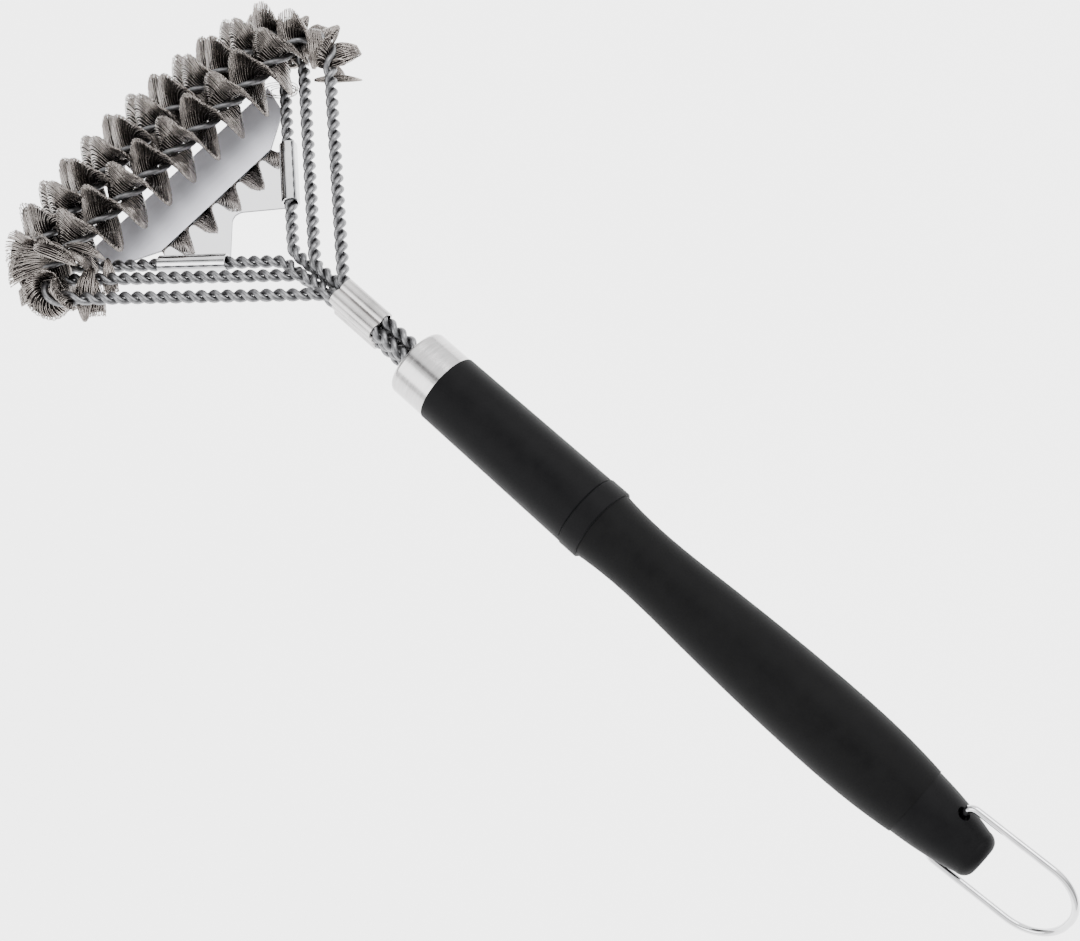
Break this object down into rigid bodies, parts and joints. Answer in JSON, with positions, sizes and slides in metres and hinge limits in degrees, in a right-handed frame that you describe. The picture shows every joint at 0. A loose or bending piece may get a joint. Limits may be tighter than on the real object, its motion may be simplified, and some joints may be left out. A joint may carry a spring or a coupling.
{
  "type": "grill cleaning brush",
  "caption": "Long-handled grill brush with staggered rows of twisted steel mesh on wire loops, a rear scraper plate and a swinging hanging loop.",
  "frame": {"origin": "bottom centre of the brush's bounding box, lying with its cleaning side up", "axes": "+Y along the handle axis towards the head, +X along the mesh rows, +Z towards the cleaning side"},
  "size_m": [0.1606, 0.4623, 0.054],
  "materials": {
    "heavy_wire": "satin drawn wire",
    "knitted_mesh": "fine knitted stainless wire",
    "scraper_steel": "polished sheet",
    "crimp_steel": "satin pressed sheet",
    "collar_steel": "fine satin",
    "inner_steel": "plain",
    "black_plastic": "smooth matte",
    "grip_rubber": "soft matte with rows of fine dots",
    "core_plastic": "plain",
    "loop_chrome": "polished wire"
  },
  "bodies": {
    "brush": {"top_loop_wire_1": "heavy_wire", "top_loop_wire_2": "heavy_wire", "top_mesh_row": "knitted_mesh", "middle_loop_wire_1": "heavy_wire", "middle_loop_wire_2": "heavy_wire", "middle_mesh_row": "knitted_mesh", "bottom_loop_wire_1": "heavy_wire", "bottom_loop_wire_2": "heavy_wire", "bottom_mesh_row": "knitted_mesh", "scraper_plate": "scraper_steel", "crimp_ferrule": "crimp_steel", "steel_collar": "collar_steel", "wire_anchor": "inner_steel", "core_tube": "inner_steel", "handle_tube": "black_plastic", "joint_ring": "black_plastic", "grip_core": "core_plastic", "grip_sleeve": "grip_rubber", "end_cap": "black_plastic"},
    "hang_loop": {"hang_loop": "loop_chrome"}
  },
  "joints": [
    {"name": "hang_loop_swing", "type": "hinge", "parent": "brush", "child": "hang_loop", "pos_m": [0, -0.1836, 0.03909], "axis": [0.5299, 0, 0.848], "range_deg": [-150, 150]}
  ]
}
